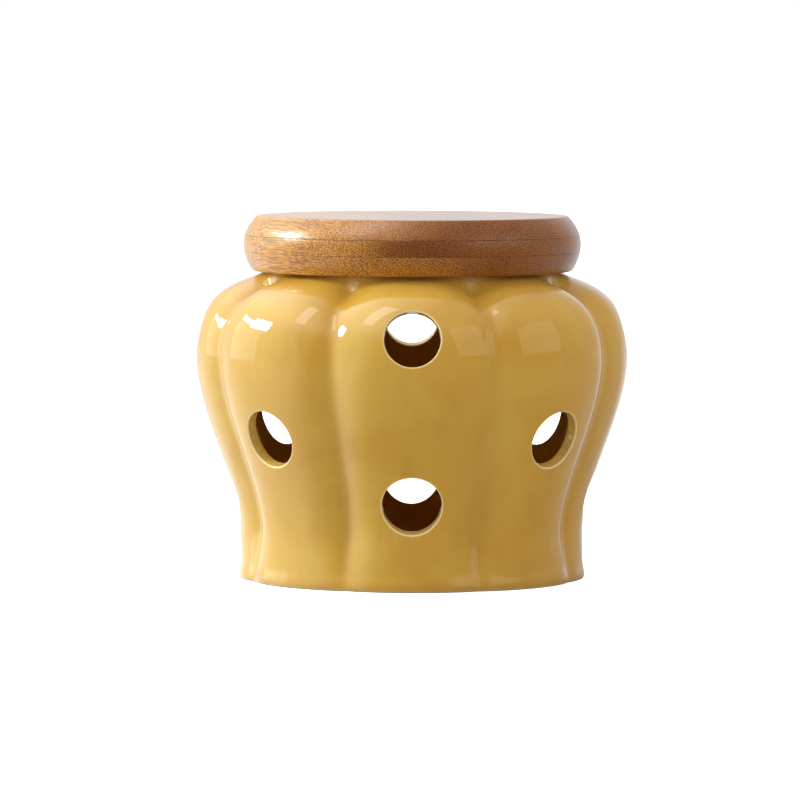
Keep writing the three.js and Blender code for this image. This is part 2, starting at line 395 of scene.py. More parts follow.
def crease_law(share, squareness):
    """0 on the ridge of a lobe and 1 in the crease, where the line turns in a round."""
    start = 1 - CREASE_ROUND_SHARE
    slope = squareness * start ** (squareness - 1)
    bottom = start ** squareness + slope * CREASE_ROUND_SHARE / 2
    if share <= start:
        return share ** squareness / bottom
    past = share - start
    return (start ** squareness + slope * (past - past * past / (2 * CREASE_ROUND_SHARE))) / bottom


def share_of_lobe(azimuth):
    """How far an azimuth lies from the nearest ridge, as a share of the way to the crease."""
    half = TURN / LOBES / 2
    return abs((azimuth + half) % (2 * half) - half) / half


def column_azimuth(column):
    """Columns stand closer together towards a crease."""
    ridge = round(column / (2 * HALF_LOBE_COLUMNS))
    step = column / HALF_LOBE_COLUMNS - 2 * ridge
    share = step + CREASE_CROWDING * math.sin(math.pi * step) / math.pi
    return (2 * ridge + share) * TURN / LOBES / 2


class Skin:
    """One face of the jar's wall: how far out it lies at a height and an azimuth."""

    def __init__(self, line, presses, squareness):
        self.heights = [p[1] for p in line]
        self.radii = [p[0] for p in line]
        self.presses = presses
        self.squareness = squareness

    def between(self, height):
        """The radius of the ridge and its press at a height."""
        k = min(max(bisect_left(self.heights, height), 1), len(self.heights) - 1)
        low, high = self.heights[k - 1], self.heights[k]
        share = (height - low) / (high - low)
        press = [lerp(a, b, share) for a, b in zip(self.presses[k - 1], self.presses[k])]
        return lerp(self.radii[k - 1], self.radii[k], share), press

    def ridge(self, height):
        return self.between(height)[0]

    def radius(self, point):
        """How far out the skin lies at a point's height and azimuth."""
        law = crease_law(share_of_lobe(math.atan2(point.x, -point.y)), self.squareness)
        height = point.z
        for _ in range(PRESS_TRIES):
            radius, press = self.between(height)
            height = point.z - law * press[1]
        return radius + law * press[0]

    def meet(self, start, way):
        """The place where the line from a point along a vent's axis meets the skin."""
        point = start
        for _ in range(SKIN_TRIES):
            miss = math.hypot(point.x, point.y) - self.radius(point)
            point = point - way * miss
        return point


fine_line = even(flank + shoulder[1:], SKIN_STEP)
fine_hollow = moved_in(fine_line, WALL)
outer_skin = Skin(fine_line, pressed(fine_line, fine_line, 1), LOBE_SQUARENESS)
inner_skin = Skin(fine_hollow, pressed(fine_hollow, fine_line, INSIDE_DEPTH_SHARE), INSIDE_SQUARENESS)


def jar_outline():
    """The whole section of the jar, from the middle of its underside to the middle of its floor, and the
    first rows of its wall and of its hollow.
    Each row is (radius, height, press outwards, press upwards, squareness, inside)."""
    recess = FOOT_RADIUS - FOOT_ROUND - RING_WIDTH
    recess_corner = (recess - RECESS_HEIGHT, RECESS_HEIGHT)
    foot = (recess, 0)
    under = [(recess * k / JAR_DISC_RINGS, RECESS_HEIGHT) for k in range(JAR_DISC_RINGS - 1)]
    under += eased((0, RECESS_HEIGHT), recess_corner, foot, RECESS_HEIGHT / 2)
    ring = eased(recess_corner, foot, (FOOT_RADIUS, 0), RECESS_HEIGHT / 3)
    ring += eased(foot, (FOOT_RADIUS, 0), (FOOT_RADIUS, FLARE_HEIGHT), FOOT_ROUND)
    side = even(flare, ROW_STEP)[1:] + even([flare[-1], flank[0]], ROW_STEP)[1:-1]
    rows = [(r, h, 0, 0, 1, 0) for r, h in under]
    for r, h in ring + side:
        depth = crease_depth(r, h) * smooth(recess, FOOT_RADIUS - 2 * FOOT_ROUND, r)
        rows.append((r, h, -depth, 0, LOBE_SQUARENESS, 0))

    wall_first = len(rows)
    presses = pressed(wall_line, wall_line, 1)
    rows += [(*p, *press, LOBE_SQUARENESS, 0) for p, press in zip(wall_line[:-1], presses)]
    neck = (MOUTH_RADIUS, hollow_line[-1][1])
    mouth = (MOUTH_RADIUS, JAR_HEIGHT)
    lip = eased(wall_line[-3], wall_line[-1], mouth, LIP_ROUND / 2)
    lip += eased(wall_line[-1], mouth, neck, LIP_ROUND)
    lip += eased(mouth, neck, hollow_line[-1], LIP_ROUND / 2)
    rows += [(r, h, 0, 0, 1, 0) for r, h in lip]

    hollow_first = len(rows)
    presses = pressed(hollow_line, wall_line, INSIDE_DEPTH_SHARE)
    inner = [(*p, *press, INSIDE_SQUARENESS, 1) for p, press in zip(hollow_line, presses)]
    rows += reversed(inner)
    floor_corner = (hollow_line[0][0], FLOOR_HEIGHT)
    fillet = eased(hollow_line[0], floor_corner, (0, FLOOR_HEIGHT), FLOOR_FILLET, FILLET_STEPS)
    for r, h in fillet:
        rows.append((r, h, -INSIDE_DEPTH_SHARE * crease_depth(r, h), 0, INSIDE_SQUARENESS, 1))
    floor_radius = fillet[-1][0]
    for k in reversed(range(JAR_DISC_RINGS)):
        rows.append((floor_radius * k / JAR_DISC_RINGS, FLOOR_HEIGHT, 0, 0, 1, 1))
    return rows, wall_first, hollow_first


def turned(outline, steps, angle=TURN, closed=False):
    """A bmesh of an outline turned about the upright axis, with the row of each vertex in a layer."""
    bm = bmesh.new()
    row_layer = bm.verts.layers.int.new("row")
    verts = []
    for row, point in enumerate(outline):
        vert = bm.verts.new((0, -point[0], point[1]))
        vert[row_layer] = row
        verts.append(vert)
    pairs = list(zip(verts, verts[1:])) + ([(verts[-1], verts[0])] if closed else [])
    edges = [bm.edges.new(pair) for pair in pairs]
    bmesh.ops.spin(
        bm, geom=verts + edges, cent=(0, 0, 0), axis=(0, 0, 1), dvec=(0, 0, 0), angle=angle,
        steps=steps, use_merge=angle == TURN, use_normal_flip=False, use_duplicate=False,
    )
    poles = [v for v in bm.verts if math.hypot(v.co.x, v.co.y) < MERGE]
    bmesh.ops.remove_doubles(bm, verts=poles, dist=MERGE)
    return bm


def finished(name, bm, material, body, slot, *nodes):
    """Makes a piece of a bmesh: its object at the origin, smooth, on its body, standing for its nodes."""
    bmesh.ops.recalc_face_normals(bm, faces=bm.faces)
    mesh = bpy.data.meshes.new(name)
    bm.to_mesh(mesh)
    bm.free()
    mesh.shade_smooth()
    mesh.materials.append(material)
    piece = bpy.data.objects.new(name, mesh)
    bpy.context.scene.collection.objects.link(piece)
    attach(piece, body)
    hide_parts(*nodes)


def press_lobes(bm, rows):
    """Turns each vertex to its column's azimuth, draws it in at the creases, and returns the grid."""
    row_layer = bm.verts.layers.int["row"]
    crease = bm.verts.layers.float["crease"]
    inside = bm.verts.layers.float["inside"]
    grid = {}
    for vert in bm.verts:
        row = vert[row_layer]
        radius, height, outwards, upwards, squareness, is_inside = rows[row]
        turn = math.atan2(vert.co.x, -vert.co.y) if radius > MERGE else 0
        column = round(turn / (TURN / 4) * QUARTER_COLUMNS)
        azimuth = column_azimuth(column - HALF_LOBE_COLUMNS)
        lobe_share = share_of_lobe(azimuth)
        law = crease_law(lobe_share, squareness)
        radius += outwards * law
        vert.co = (radius * math.sin(azimuth), -radius * math.cos(azimuth), height + upwards * law)
        # How far the glaze darkens towards the crease: pooled glaze and painted shade
        shade = lobe_share ** CREASE_SHADE_POWER
        vert[crease] = shade * math.hypot(outwards, upwards) / CREASE_DEPTH
        vert[inside] = is_inside
        grid[row, column] = vert
    return grid


def loop_keys(rows, columns):
    """The keys round the edge of a patch of the grid, in order."""
    low, high = rows
    left, right = columns
    keys = [(low, c) for c in range(left, right)]
    keys += [(r, right) for r in range(low, high)]
    keys += [(high, c) for c in range(right, left, -1)]
    keys += [(r, left) for r in range(high, low, -1)]
    return keys


def loop_edges(bm, loop):
    return [bm.edges.get((a, b)) for a, b in zip(loop, loop[1:] + loop[:1])]


def extruded_ring(bm, loop):
    """Extrudes a closed loop of vertices and returns the new loop in the same order."""
    geometry = bmesh.ops.extrude_edge_only(bm, edges=loop_edges(bm, loop))["geom"]
    made = set(v for v in geometry if isinstance(v, bmesh.types.BMVert))
    ring = []
    for vert in loop:
        ring.append(next(e.other_vert(vert) for e in vert.link_edges if e.other_vert(vert) in made))
    return ring


def vent_axes(lobe, height):
    """The centre of a vent on the outer skin, and the ways out of it, across it and up it."""
    azimuth = TURN * lobe / LOBES
    below, above = [outer_skin.ridge(height + step) for step in (-ROW_STEP, ROW_STEP)]
    slope = math.atan2(below - above, 2 * ROW_STEP)
    level = Vector((math.sin(azimuth), -math.cos(azimuth), 0))
    out = level * math.cos(slope) + Vector((0, 0, math.sin(slope)))
    across = Vector((math.cos(azimuth), math.sin(azimuth), 0))
    centre = level * outer_skin.ridge(height) + Vector((0, 0, height))
    return centre, out, across, across.cross(out)


def vent_rings(outer_loop, inner_loop, lobe, height, size):
    """The rings of a vent's wall, from the patch on the outer face, over its lip and through the wall.
    Each ring is (places, how pale the lip is with thin glaze and a painted highlight, whether in the bore,
    how far inside)."""
    centre, out, across, up = vent_axes(lobe, height)

    def spoke(vert):
        away = vert.co - centre
        return Vector((away.dot(across), away.dot(up)))

    def at(skin, direction, radius):
        return skin.meet(centre + (across * direction.x + up * direction.y) * radius, out)

    outer_spokes = [spoke(v) for v in outer_loop]
    inner_spokes = [spoke(v) for v in inner_loop]
    ways = [s.normalized() for s in outer_spokes]
    lip_radius = size + VENT_LIP
    inside_lip_radius = size + VENT_INSIDE_LIP
    lip_starts = [at(outer_skin, w, lip_radius) for w in ways]
    lip_corners = [at(outer_skin, w, size) for w in ways]
    lip_ends = [corner - out * VENT_LIP for corner in lip_corners]
    far_corners = [at(inner_skin, w, size) for w in ways]
    far_starts = [corner + out * VENT_INSIDE_LIP for corner in far_corners]
    far_ends = [at(inner_skin, w, inside_lip_radius) for w in ways]

    rings = []
    for share in VENT_OUTER_SHARES:
        ring = [at(outer_skin, w, lerp(s.length, lip_radius, share)) for s, w in zip(outer_spokes, ways)]
        rings.append((ring, 0, 0, 0))
    # The lip rings take the pale lip colour, thin glaze and a painted highlight, weaker on the first and
    # last ring
    for k in range(1, VENT_LIP_RINGS + 1):
        share = k / VENT_LIP_RINGS
        ring = [bend(a, b, c, share) for a, b, c in zip(lip_starts, lip_corners, lip_ends)]
        rings.append((ring, 1 if 1 < k < VENT_LIP_RINGS else LIP_EDGE_PALE_SHARE, 0, 0))
    for share in VENT_BORE_SHARES:
        ring = [a.lerp(b, share) for a, b in zip(lip_ends, far_starts)]
        rings.append((ring, 0, 1, 0))
    for k in range(VENT_INSIDE_LIP_RINGS + 1):
        share = k / VENT_INSIDE_LIP_RINGS
        ring = [bend(a, b, c, share) for a, b, c in zip(far_starts, far_corners, far_ends)]
        rings.append((ring, 0, 1 - share, share))
    for share in VENT_INNER_SHARES:
        ring = []
        for s, w in zip(inner_spokes, ways):
            way = w.lerp(s.normalized(), share).normalized()
            ring.append(at(inner_skin, way, lerp(inside_lip_radius, s.length, share)))
        rings.append((ring, 0, 0, 1))
    return rings


def cut_vent(bm, grid, lobe, height, size, wall_first, hollow_first):
    """Opens one vent: its patch of the wall is replaced by rings that run over its lip and through it."""
    rim = bm.verts.layers.float["rim"]
    bore = bm.verts.layers.float["bore"]
    inside = bm.verts.layers.float["inside"]
    row = min(range(len(wall_line)), key=lambda k: abs(wall_line[k][1] - height))
    reach = 1
    while wall_line[row][0] * column_azimuth(reach) < VENT_HALF_WIDTH:
        reach += 1
    ridge_column = (2 * lobe + 1) * HALF_LOBE_COLUMNS
    columns = (ridge_column - reach, ridge_column + reach)
    rows = (row - VENT_HALF_ROWS, row + VENT_HALF_ROWS)
    keys = loop_keys(rows, columns)
    hollow_last = hollow_first + len(hollow_line) - 1
    outer_loop = [grid[wall_first + r, c] for r, c in keys]
    inner_loop = [grid[hollow_last - r, c] for r, c in keys]
    gone = []
    for r in range(rows[0] + 1, rows[1]):
        for c in range(columns[0] + 1, columns[1]):
            gone.append(grid[wall_first + r, c])
            gone.append(grid[hollow_last - r, c])
    bmesh.ops.delete(bm, geom=gone, context="VERTS")

    loop = outer_loop
    for places, paleness, bored, within in vent_rings(outer_loop, inner_loop, lobe, height, size):
        loop = extruded_ring(bm, loop)
        for vert, place in zip(loop, places):
            vert.co = place
            # How much of the pale lip colour, thin glaze and painted highlight, this ring takes
            vert[rim] = paleness
            vert[bore] = bored
            vert[inside] = within
    bmesh.ops.bridge_loops(bm, edges=loop_edges(bm, loop) + loop_edges(bm, inner_loop))


def mark_glaze(bm, grid, rows, wall_first, hollow_first):
    """Notes where the foot is bare of glaze, and where the mouth's rim takes part of the pale lip colour:
    thin glaze and a painted highlight.
    """
    rim = bm.verts.layers.float["rim"]
    foot = bm.verts.layers.float["foot"]
    for (row, _), vert in grid.items():
        radius, height = rows[row][:2]
        if row < wall_first:
            is_under = radius < FOOT_RADIUS - 2 * FOOT_ROUND
            vert[foot] = 1 if is_under else 1 - smooth(FOOT_ROUND / 4, FOOT_ROUND, height)
        elif row < hollow_first and height > BELLY_HEIGHT and radius < LIP_RADIUS + LIP_ROUND:
            # The mouth's rim takes part of the pale lip colour: thin glaze and a painted highlight
            vert[rim] = MOUTH_PALE_SHARE


def make_jar(material):
    """The whole pot. One quarter of it, two lobes with three vents, is made and turned round."""
    rows, wall_first, hollow_first = jar_outline()
    bm = turned(rows, QUARTER_COLUMNS, TURN / 4)
    for name in ("crease", "inside", "bore", "rim", "foot"):
        bm.verts.layers.float.new(name)
    grid = press_lobes(bm, rows)
    mark_glaze(bm, grid, rows, wall_first, hollow_first)
    for lobe, height, size in QUARTER_VENTS:
        cut_vent(bm, grid, lobe, height, size, wall_first, hollow_first)
    bmesh.ops.spin(
        bm, geom=bm.verts[:] + bm.edges[:] + bm.faces[:], cent=(0, 0, 0), axis=(0, 0, 1),
        dvec=(0, 0, 0), angle=TURN * 3 / 4, steps=3, use_merge=False, use_normal_flip=False,
        use_duplicate=True,
    )
    bmesh.ops.remove_doubles(bm, verts=bm.verts, dist=MERGE)
    finished("jar", bm, material, "jar", "ochre_glaze", "jar_body")


def eased_outline(corners, closed=False):
    """An outline with its corners rounded. Each corner is (radius, height, size of its round)."""
    points = []
    last = len(corners) - 1
    for i, (radius, height, size) in enumerate(corners):
        is_end = i in (0, last) and not closed
        if is_end or not size:
            points.append((radius, height))
            continue
        before = corners[i - 1][:2]
        after = corners[(i + 1) % len(corners)][:2]
        points += eased(before, (radius, height), after, size, SMALL_EASE_STEPS)
    return points


def lid_radius(height):
    """The turned edge of the lid: widest near the middle, drawn in above and below."""
    away = (height - LID_WIDEST_HEIGHT) / LID_HALF_HEIGHT
    return LID_WIDEST_RADIUS - (LID_TOP_DRAW if away > 0 else LID_BASE_DRAW) * away * away


def mark_cut(bm):
    """Notes on each vertex how squarely the cut crosses the fibres, and whether it is on a flat face."""
    for name in ("end_grain", "flat"):
        bm.verts.layers.float.new(name)
    end_grain = bm.verts.layers.float["end_grain"]
    flat = bm.verts.layers.float["flat"]
    bmesh.ops.recalc_face_normals(bm, faces=bm.faces)
    bm.normal_update()
    for vert in bm.verts:
        vert[end_grain] = abs(vert.normal.dot(FIBRE_WAY))
        vert[flat] = smooth(FLAT_START, 1, abs(vert.normal.z))


def make_ply(name, low, high, low_arris, high_arris, material, slot, node_name):
    """One ply of the lid, with the turned edge between its two faces."""
    low_radius = lid_radius(low)
    high_radius = lid_radius(high)
    heights = [lerp(low, high, k / PLY_EDGE_ROWS) for k in range(1, PLY_EDGE_ROWS)]
    edge = [(lid_radius(h), h) for h in heights]
    outline = [(low_radius * k / PLY_DISC_RINGS, low) for k in range(PLY_DISC_RINGS)]
    outline.append((low_radius - ARRIS_MARGIN * low_arris, low))
    outline += eased(outline[-1], (low_radius, low), edge[0], low_arris)
    outline += [p for p in edge if low + low_arris < p[1] < high - high_arris]
    outline += eased(edge[-1], (high_radius, high), (0, high), high_arris)
    outline.append((high_radius - ARRIS_MARGIN * high_arris, high))
    outline += [(high_radius * k / PLY_DISC_RINGS, high) for k in reversed(range(PLY_DISC_RINGS))]
    bm = turned(outline, LID_STEPS)
    mark_cut(bm)
    finished(name, bm, material, "lid", slot, node_name)


def make_plug(material):
    """The register under the lid, with the groove of the soft ring."""
    groove = PLUG_RADIUS - GROOVE_DEPTH
    outline = [(groove * k / PLUG_DISC_RINGS, PLUG_BOTTOM) for k in range(PLUG_DISC_RINGS)]
    outline += eased_outline([
        (groove, PLUG_BOTTOM, 0),
        (PLUG_RADIUS - PLUG_CHAMFER, PLUG_BOTTOM, 2 * PLUG_ARRIS),
        (PLUG_RADIUS, PLUG_BOTTOM + PLUG_CHAMFER, 2 * PLUG_ARRIS),
        (PLUG_RADIUS, GROOVE_BOTTOM, PLUG_ARRIS),
        (groove, GROOVE_BOTTOM, PLUG_ARRIS),
        (groove, GROOVE_TOP, PLUG_ARRIS),
        (PLUG_RADIUS, GROOVE_TOP, PLUG_ARRIS),
        (PLUG_RADIUS, JAR_HEIGHT, 0),
    ])
    outline += [(PLUG_RADIUS * k / PLUG_DISC_RINGS, JAR_HEIGHT) for k in reversed(range(PLUG_DISC_RINGS))]
    bm = turned(outline, RING_STEPS)
    mark_cut(bm)
    finished("lid_register", bm, material, "lid", "outer_bamboo", "lid_plug")


def make_ring(material):
    """The soft ring: a band in the groove with two lips that reach for the mouth."""
    corners = [(RING_INNER_RADIUS, GROOVE_BOTTOM, RING_EASE)]
    for lip in range(2):
        low = GROOVE_BOTTOM + lip * (RING_LIP_HEIGHT + RING_LIP_SPACING)
        high = low + RING_LIP_HEIGHT
        corners.append((PLUG_RADIUS, low, RING_EASE))
        corners.append((RING_TIP_RADIUS, lerp(low, high, RING_LIP_TAPER_SHARE), RING_EASE))
        corners.append((RING_TIP_RADIUS, lerp(low, high, 1 - RING_LIP_TAPER_SHARE), RING_EASE))
        corners.append((PLUG_RADIUS, high, RING_EASE))
    corners.append((RING_INNER_RADIUS, high, RING_EASE))
    bm = turned(eased_outline(corners, closed=True), RING_STEPS, closed=True)
    finished("seal_ring", bm, material, "lid", "clear_silicone", "lid_seal_ring")


def new_material(name):
    """A material with an empty node tree, and that tree."""
    material = bpy.data.materials.new(name)
    material.use_nodes = True
    material.node_tree.nodes.clear()
    return material, material.node_tree


def node(tree, kind, inputs=None, **settings):
    """Adds a node. Its inputs take either a number or colour, or another node's output."""
    made = tree.nodes.new(kind)
    for name, value in settings.items():
        setattr(made, name, value)
    for name, value in (inputs or {}).items():
        if isinstance(value, bpy.types.NodeSocket):
            tree.links.new(value, made.inputs[name])
        else:
            made.inputs[name].default_value = value
    return made


def maths(tree, kind, a, b, c=0):
    """A Math node."""
    return node(tree, "ShaderNodeMath", {0: a, 1: b, 2: c}, operation=kind).outputs[0]


def mixed(tree, share, a, b):
    """A Mix node for numbers."""
    return node(tree, "ShaderNodeMix", {0: share, 2: a, 3: b}).outputs[0]


def blend(tree, share, a, b):
    """A Mix node for colours."""
    return node(tree, "ShaderNodeMix", {0: share, 6: a, 7: b}, data_type="RGBA").outputs[2]


def ramp(tree, value, stops, between="EASE"):
    """A Color Ramp node with (place, grey) stops."""
    made = node(tree, "ShaderNodeValToRGB", {0: value})
    made.color_ramp.interpolation = between
    elements = made.color_ramp.elements
    for i, (place, grey) in enumerate(stops):
        element = elements[i] if i < 2 else elements.new(place)
        element.position = place
        element.color = (grey, grey, grey, 1)
    return made.outputs[0]


def swell(tree, value, low, high, start, end):
    """A value that goes smoothly from start to end while another goes from low to high."""
    inputs = {0: value, 1: low, 2: high, 3: start, 4: end}
    return node(tree, "ShaderNodeMapRange", inputs, interpolation_type="SMOOTHSTEP").outputs[0]


def attribute(tree, name):
    return node(tree, "ShaderNodeAttribute", attribute_name=name).outputs["Fac"]


def parts(tree, vector):
    """The three parts of a vector."""
    return node(tree, "ShaderNodeSeparateXYZ", {0: vector}).outputs


def placed(tree, scale=(1, 1, 1), turn=(0, 0, 0), shift=(0, 0, 0)):
    """Object coordinates in metres, scaled, for a pattern."""
    coordinates = node(tree, "ShaderNodeTexCoord")
    inputs = {"Vector": coordinates.outputs["Object"], "Scale": scale, "Rotation": turn, "Location": shift}
    return node(tree, "ShaderNodeMapping", inputs).outputs[0]


def noise(tree, vector, cells, detail=2, roughness=0.5, distortion=0):
    """Noise with so many cells to the metre."""
    inputs = {
        "Vector": vector, "Scale": cells, "Detail": detail, "Roughness": roughness,
        "Distortion": distortion,
    }
    return node(tree, "ShaderNodeTexNoise", inputs).outputs[0]


def shaded(tree, inputs):
    """The Principled shader, feeding the material's output."""
    shader = node(tree, "ShaderNodeBsdfPrincipled", inputs)
    node(tree, "ShaderNodeOutputMaterial", {"Surface": shader.outputs[0]})


def bumped(tree, height, distance):
    return node(tree, "ShaderNodeBump", {"Height": height, "Distance": distance}).outputs[0]


def glaze_material():
    """Glossy ochre glaze: cloudy, darker in the creases with pooled glaze and painted shade, darker in
    streaks towards the foot, pale on lips with thin glaze and a painted highlight, and off the foot ring.
    The vents are mottled with clay over a glaze painted paler as painted light, and the inside is duller,
    with its glaze painted darker and browner as painted shade."""
    material, tree = new_material("ochre_glaze")
    here = placed(tree)
    inside = attribute(tree, "inside")
    bare = attribute(tree, "foot")
    clouds = noise(tree, here, CLOUD_CELLS, detail=3, roughness=0.55, distortion=0.6)
    wash = noise(tree, placed(tree, WASH_STRETCH), WASH_CELLS, roughness=0.6)
    grain = noise(tree, here, GRAIN_CELLS, roughness=0.6)

    body = blend(tree, ramp(tree, clouds, CLOUD_STOPS), PALE_OCHRE, OCHRE)
    body = blend(tree, ramp(tree, wash, WASH_STOPS), body, DEEP_OCHRE)
    # Creases: pooled glaze and painted shade
    pooled_and_shade = maths(tree, "MULTIPLY", attribute(tree, "crease"), CREASE_POOL_AND_SHADE_SHARE)
    body = blend(tree, pooled_and_shade, body, DEEP_OCHRE)
    body = blend(tree, ramp(tree, grain, GRAIN_STOPS), body, DEEP_OCHRE)
    # Inside: glaze painted darker and browner, as painted shade
    body = blend(tree, inside, body, blend(tree, clouds, INNER_GLAZE_AND_SHADE, INNER_DEEP_AND_SHADE))
    clay_share = ramp(tree, noise(tree, here, BORE_CELLS, detail=3, roughness=0.7), BORE_STOPS)
    # Bore: glaze painted paler as painted light, mottled with clay
    body = blend(tree, attribute(tree, "bore"), body, blend(tree, clay_share, BORE_GLAZE_AND_PAINTED_LIGHT, BORE_CLAY))
    # Darker in streaks towards the foot
    foot_darkening = swell(tree, parts(tree, here)[2], FOOT_ROUND, FOOT_DARKENING_HEIGHT, FOOT_DARKENING_SHARE, 0)
    body = blend(tree, maths(tree, "MULTIPLY", foot_darkening, wash), body, DEEP_OCHRE)
    # Lips: thin glaze and a painted highlight
    body = blend(tree, attribute(tree, "rim"), body, THIN_GLAZE_AND_HIGHLIGHT)
    clay = blend(tree, ramp(tree, grain, SPECKLE_STOPS), BARE_CLAY, CLAY_SPECKLE)
    body = blend(tree, bare, body, clay)

    dull = maths(tree, "MULTIPLY_ADD", inside, INSIDE_DULLNESS, bare)
    shaded(tree, {
        "Base Color": body,
        "Roughness": swell(tree, inside, 0, 1, GLAZE_ROUGHNESS, INSIDE_ROUGHNESS),
        "IOR": 1.5,
        "Specular IOR Level": 0.05,
        "Coat Weight": maths(tree, "SUBTRACT", 1, dull),
        "Coat Roughness": 0.05,
        "Normal": bumped(tree, noise(tree, here, WAVE_CELLS), WAVE_DEPTH),
    })
    return material


def ply_tone(tree, left_to_right, across, stretched, number, tones_and_light):
    """How pale the ply is: its tones from left to right, paler to the left in part as painted light where
    the key lamp falls, a drift along the fibres, and glued strips.
    """
    drift = noise(tree, stretched, TONE_DRIFT_CELLS)
    place = node(tree, "ShaderNodeMapRange", {
        0: left_to_right, 1: -LID_WIDEST_RADIUS, 2: LID_WIDEST_RADIUS,
    }).outputs[0]
    place = maths(tree, "SUBTRACT", place, TONE_DRIFT / 2)
    place = maths(tree, "MULTIPLY_ADD", drift, TONE_DRIFT, place)
    # Paler to the left, where the key lamp lights the lid: in part painted light
    tone = maths(tree, "SUBTRACT", ramp(tree, place, tones_and_light, "LINEAR"), STRIP_CONTRAST / 2)
    strip = maths(tree, "MULTIPLY_ADD", across, 1 / STRIP_WIDTH, number * PLY_STRIP_SHIFT)
    strip = maths(tree, "FLOOR", strip, 0)
    strip_tone = node(tree, "ShaderNodeTexWhiteNoise", {"W": strip}, noise_dimensions="1D").outputs[0]
    return maths(tree, "MULTIPLY_ADD", strip_tone, STRIP_CONTRAST, tone)


def fibre_dots(tree, across, up, stretched, number, end_cut):
    """The share of dark fibre in the dots of the cut bundles, which are weaker where they are cut along."""
    wander = noise(tree, stretched, FIBRE_WANDER_CELLS, roughness=0.6)
    shift = maths(tree, "MULTIPLY", wander, FIBRE_SPACING)
    cut = node(tree, "ShaderNodeCombineXYZ", {
        0: maths(tree, "ADD", across, shift),
        1: maths(tree, "SUBTRACT", maths(tree, "ADD", up, number * PLY_RISE), shift),
    }).outputs[0]
    bundles = node(tree, "ShaderNodeTexVoronoi", {
        "Vector": cut, "Scale": 1 / FIBRE_SPACING, "Randomness": FIBRE_RANDOMNESS,
    }, voronoi_dimensions="2D").outputs["Distance"]
    strength = ramp(tree, noise(tree, stretched, FIBRE_STRENGTH_CELLS, detail=1), FIBRE_STRENGTH_STOPS)
    strength = maths(tree, "MULTIPLY", strength, swell(tree, end_cut, 0, 1, SIDE_CUT_DOTS, 1))
    return maths(tree, "MULTIPLY", ramp(tree, bundles, FIBRE_DOT_STOPS), strength)


def bamboo_material(name, number, tones_and_light):
    """Bamboo: dark bundles of fibres show as dots where the cut crosses them and as streaks where it
    runs along them. The plies are parted by dark lines of glue, and the flat faces are smoother."""
    material, tree = new_material(name)
    fibre_turn = (0, 0, -FIBRE_TURN)
    stretched = placed(tree, FIBRE_STRETCH, fibre_turn, (0, number * PLY_SHIFT, 0))
    left_to_right = parts(tree, placed(tree))[0]
    across, along, up = parts(tree, placed(tree, turn=fibre_turn))
    end_cut = attribute(tree, "end_grain")
    flat = attribute(tree, "flat")

    tone = ply_tone(tree, left_to_right, across, stretched, number, tones_and_light)
    body = blend(tree, tone, DARK_BAMBOO, PALE_BAMBOO)
    dots = fibre_dots(tree, across, up, stretched, number, end_cut)
    body = blend(tree, dots, body, FIBRE_DARK)
    streak_place = node(tree, "ShaderNodeCombineXYZ", {
        0: across, 1: maths(tree, "MULTIPLY", along, STREAK_STRETCH), 2: up,
    }).outputs[0]
    streaks = ramp(tree, noise(tree, streak_place, STREAK_CELLS, detail=3, roughness=0.7), STREAK_STOPS)
    streaks = maths(tree, "MULTIPLY", streaks, maths(tree, "SUBTRACT", 1, end_cut))
    body = blend(tree, streaks, body, FIBRE_DARK)
    low_glue = maths(tree, "COMPARE", up, BOTTOM_JOINT_HEIGHT, GLUE_HALF_THICKNESS)
    high_glue = maths(tree, "COMPARE", up, TOP_JOINT_HEIGHT, GLUE_HALF_THICKNESS)
    glue = maths(tree, "MULTIPLY", maths(tree, "MAXIMUM", low_glue, high_glue), GLUE_DARKNESS)
    body = blend(tree, glue, body, FIBRE_DARK)

    sunk = maths(tree, "MULTIPLY", dots, swell(tree, flat, 0, 1, -1, -FLAT_PORE_SHARE))
    pores = bumped(tree, sunk, PORE_DEPTH)
    shaded(tree, {
        "Base Color": body,
        "Roughness": swell(tree, flat, 0, 1, EDGE_ROUGHNESS, FLAT_ROUGHNESS),
        "IOR": 1.5,
        "Specular IOR Level": 0.22,
        "Coat Weight": swell(tree, flat, 0, 1, EDGE_COAT, 0),
        "Coat Roughness": 0.25,
        "Normal": pores,
        "Coat Normal": pores,
    })
    return material


def silicone_material():
    """Milky silicone with a faint bloom from the mould."""
    material, tree = new_material("clear_silicone")
    bloom = noise(tree, placed(tree), BLOOM_CELLS, detail=3, roughness=0.6)
    shaded(tree, {
        "Base Color": blend(tree, bloom, SILICONE, SILICONE_BLOOM),
        "Roughness": 0.38,
        "IOR": 1.41,
        "Transmission Weight": 0.35,
        "Normal": bumped(tree, bloom, BLOOM_DEPTH),
    })
    return material


def camera():
    data = bpy.data.cameras.new("camera")
    data.lens = CAMERA_LENS
    data.sensor_width = SENSOR_WIDTH
    data.clip_start = CAMERA_NEAR
    data.clip_end = CAMERA_FAR
    made = bpy.data.objects.new("camera", data)
    bpy.context.scene.collection.objects.link(made)
    turn = Matrix.Rotation(math.pi / 2 - CAMERA_PITCH, 4, "X") @ Matrix.Rotation(CAMERA_ROLL, 4, "Z")
    made.matrix_world = Matrix.Translation(CAMERA_PLACE) @ turn
    bpy.context.scene.camera = made


def room_light(tree, right, back, front, left_wall, right_wall):
    """How bright the room is in a level direction: dim in front, paler at the sides and behind."""
    left = swell(tree, back, *LEFT_WALL_SPAN, front, left_wall)
    right_side = swell(tree, back, *RIGHT_WALL_SPAN, front, right_wall)
    walls = mixed(tree, swell(tree, right, *MIDDLE_SPAN, 0, 1), left, right_side)
    return swell(tree, back, *BACK_WALL_SPAN, walls, BACK_WALL)


def gloss_light(tree, right, back):
    return room_light(tree, right, back, GLOSS_FRONT, GLOSS_LEFT, GLOSS_RIGHT)


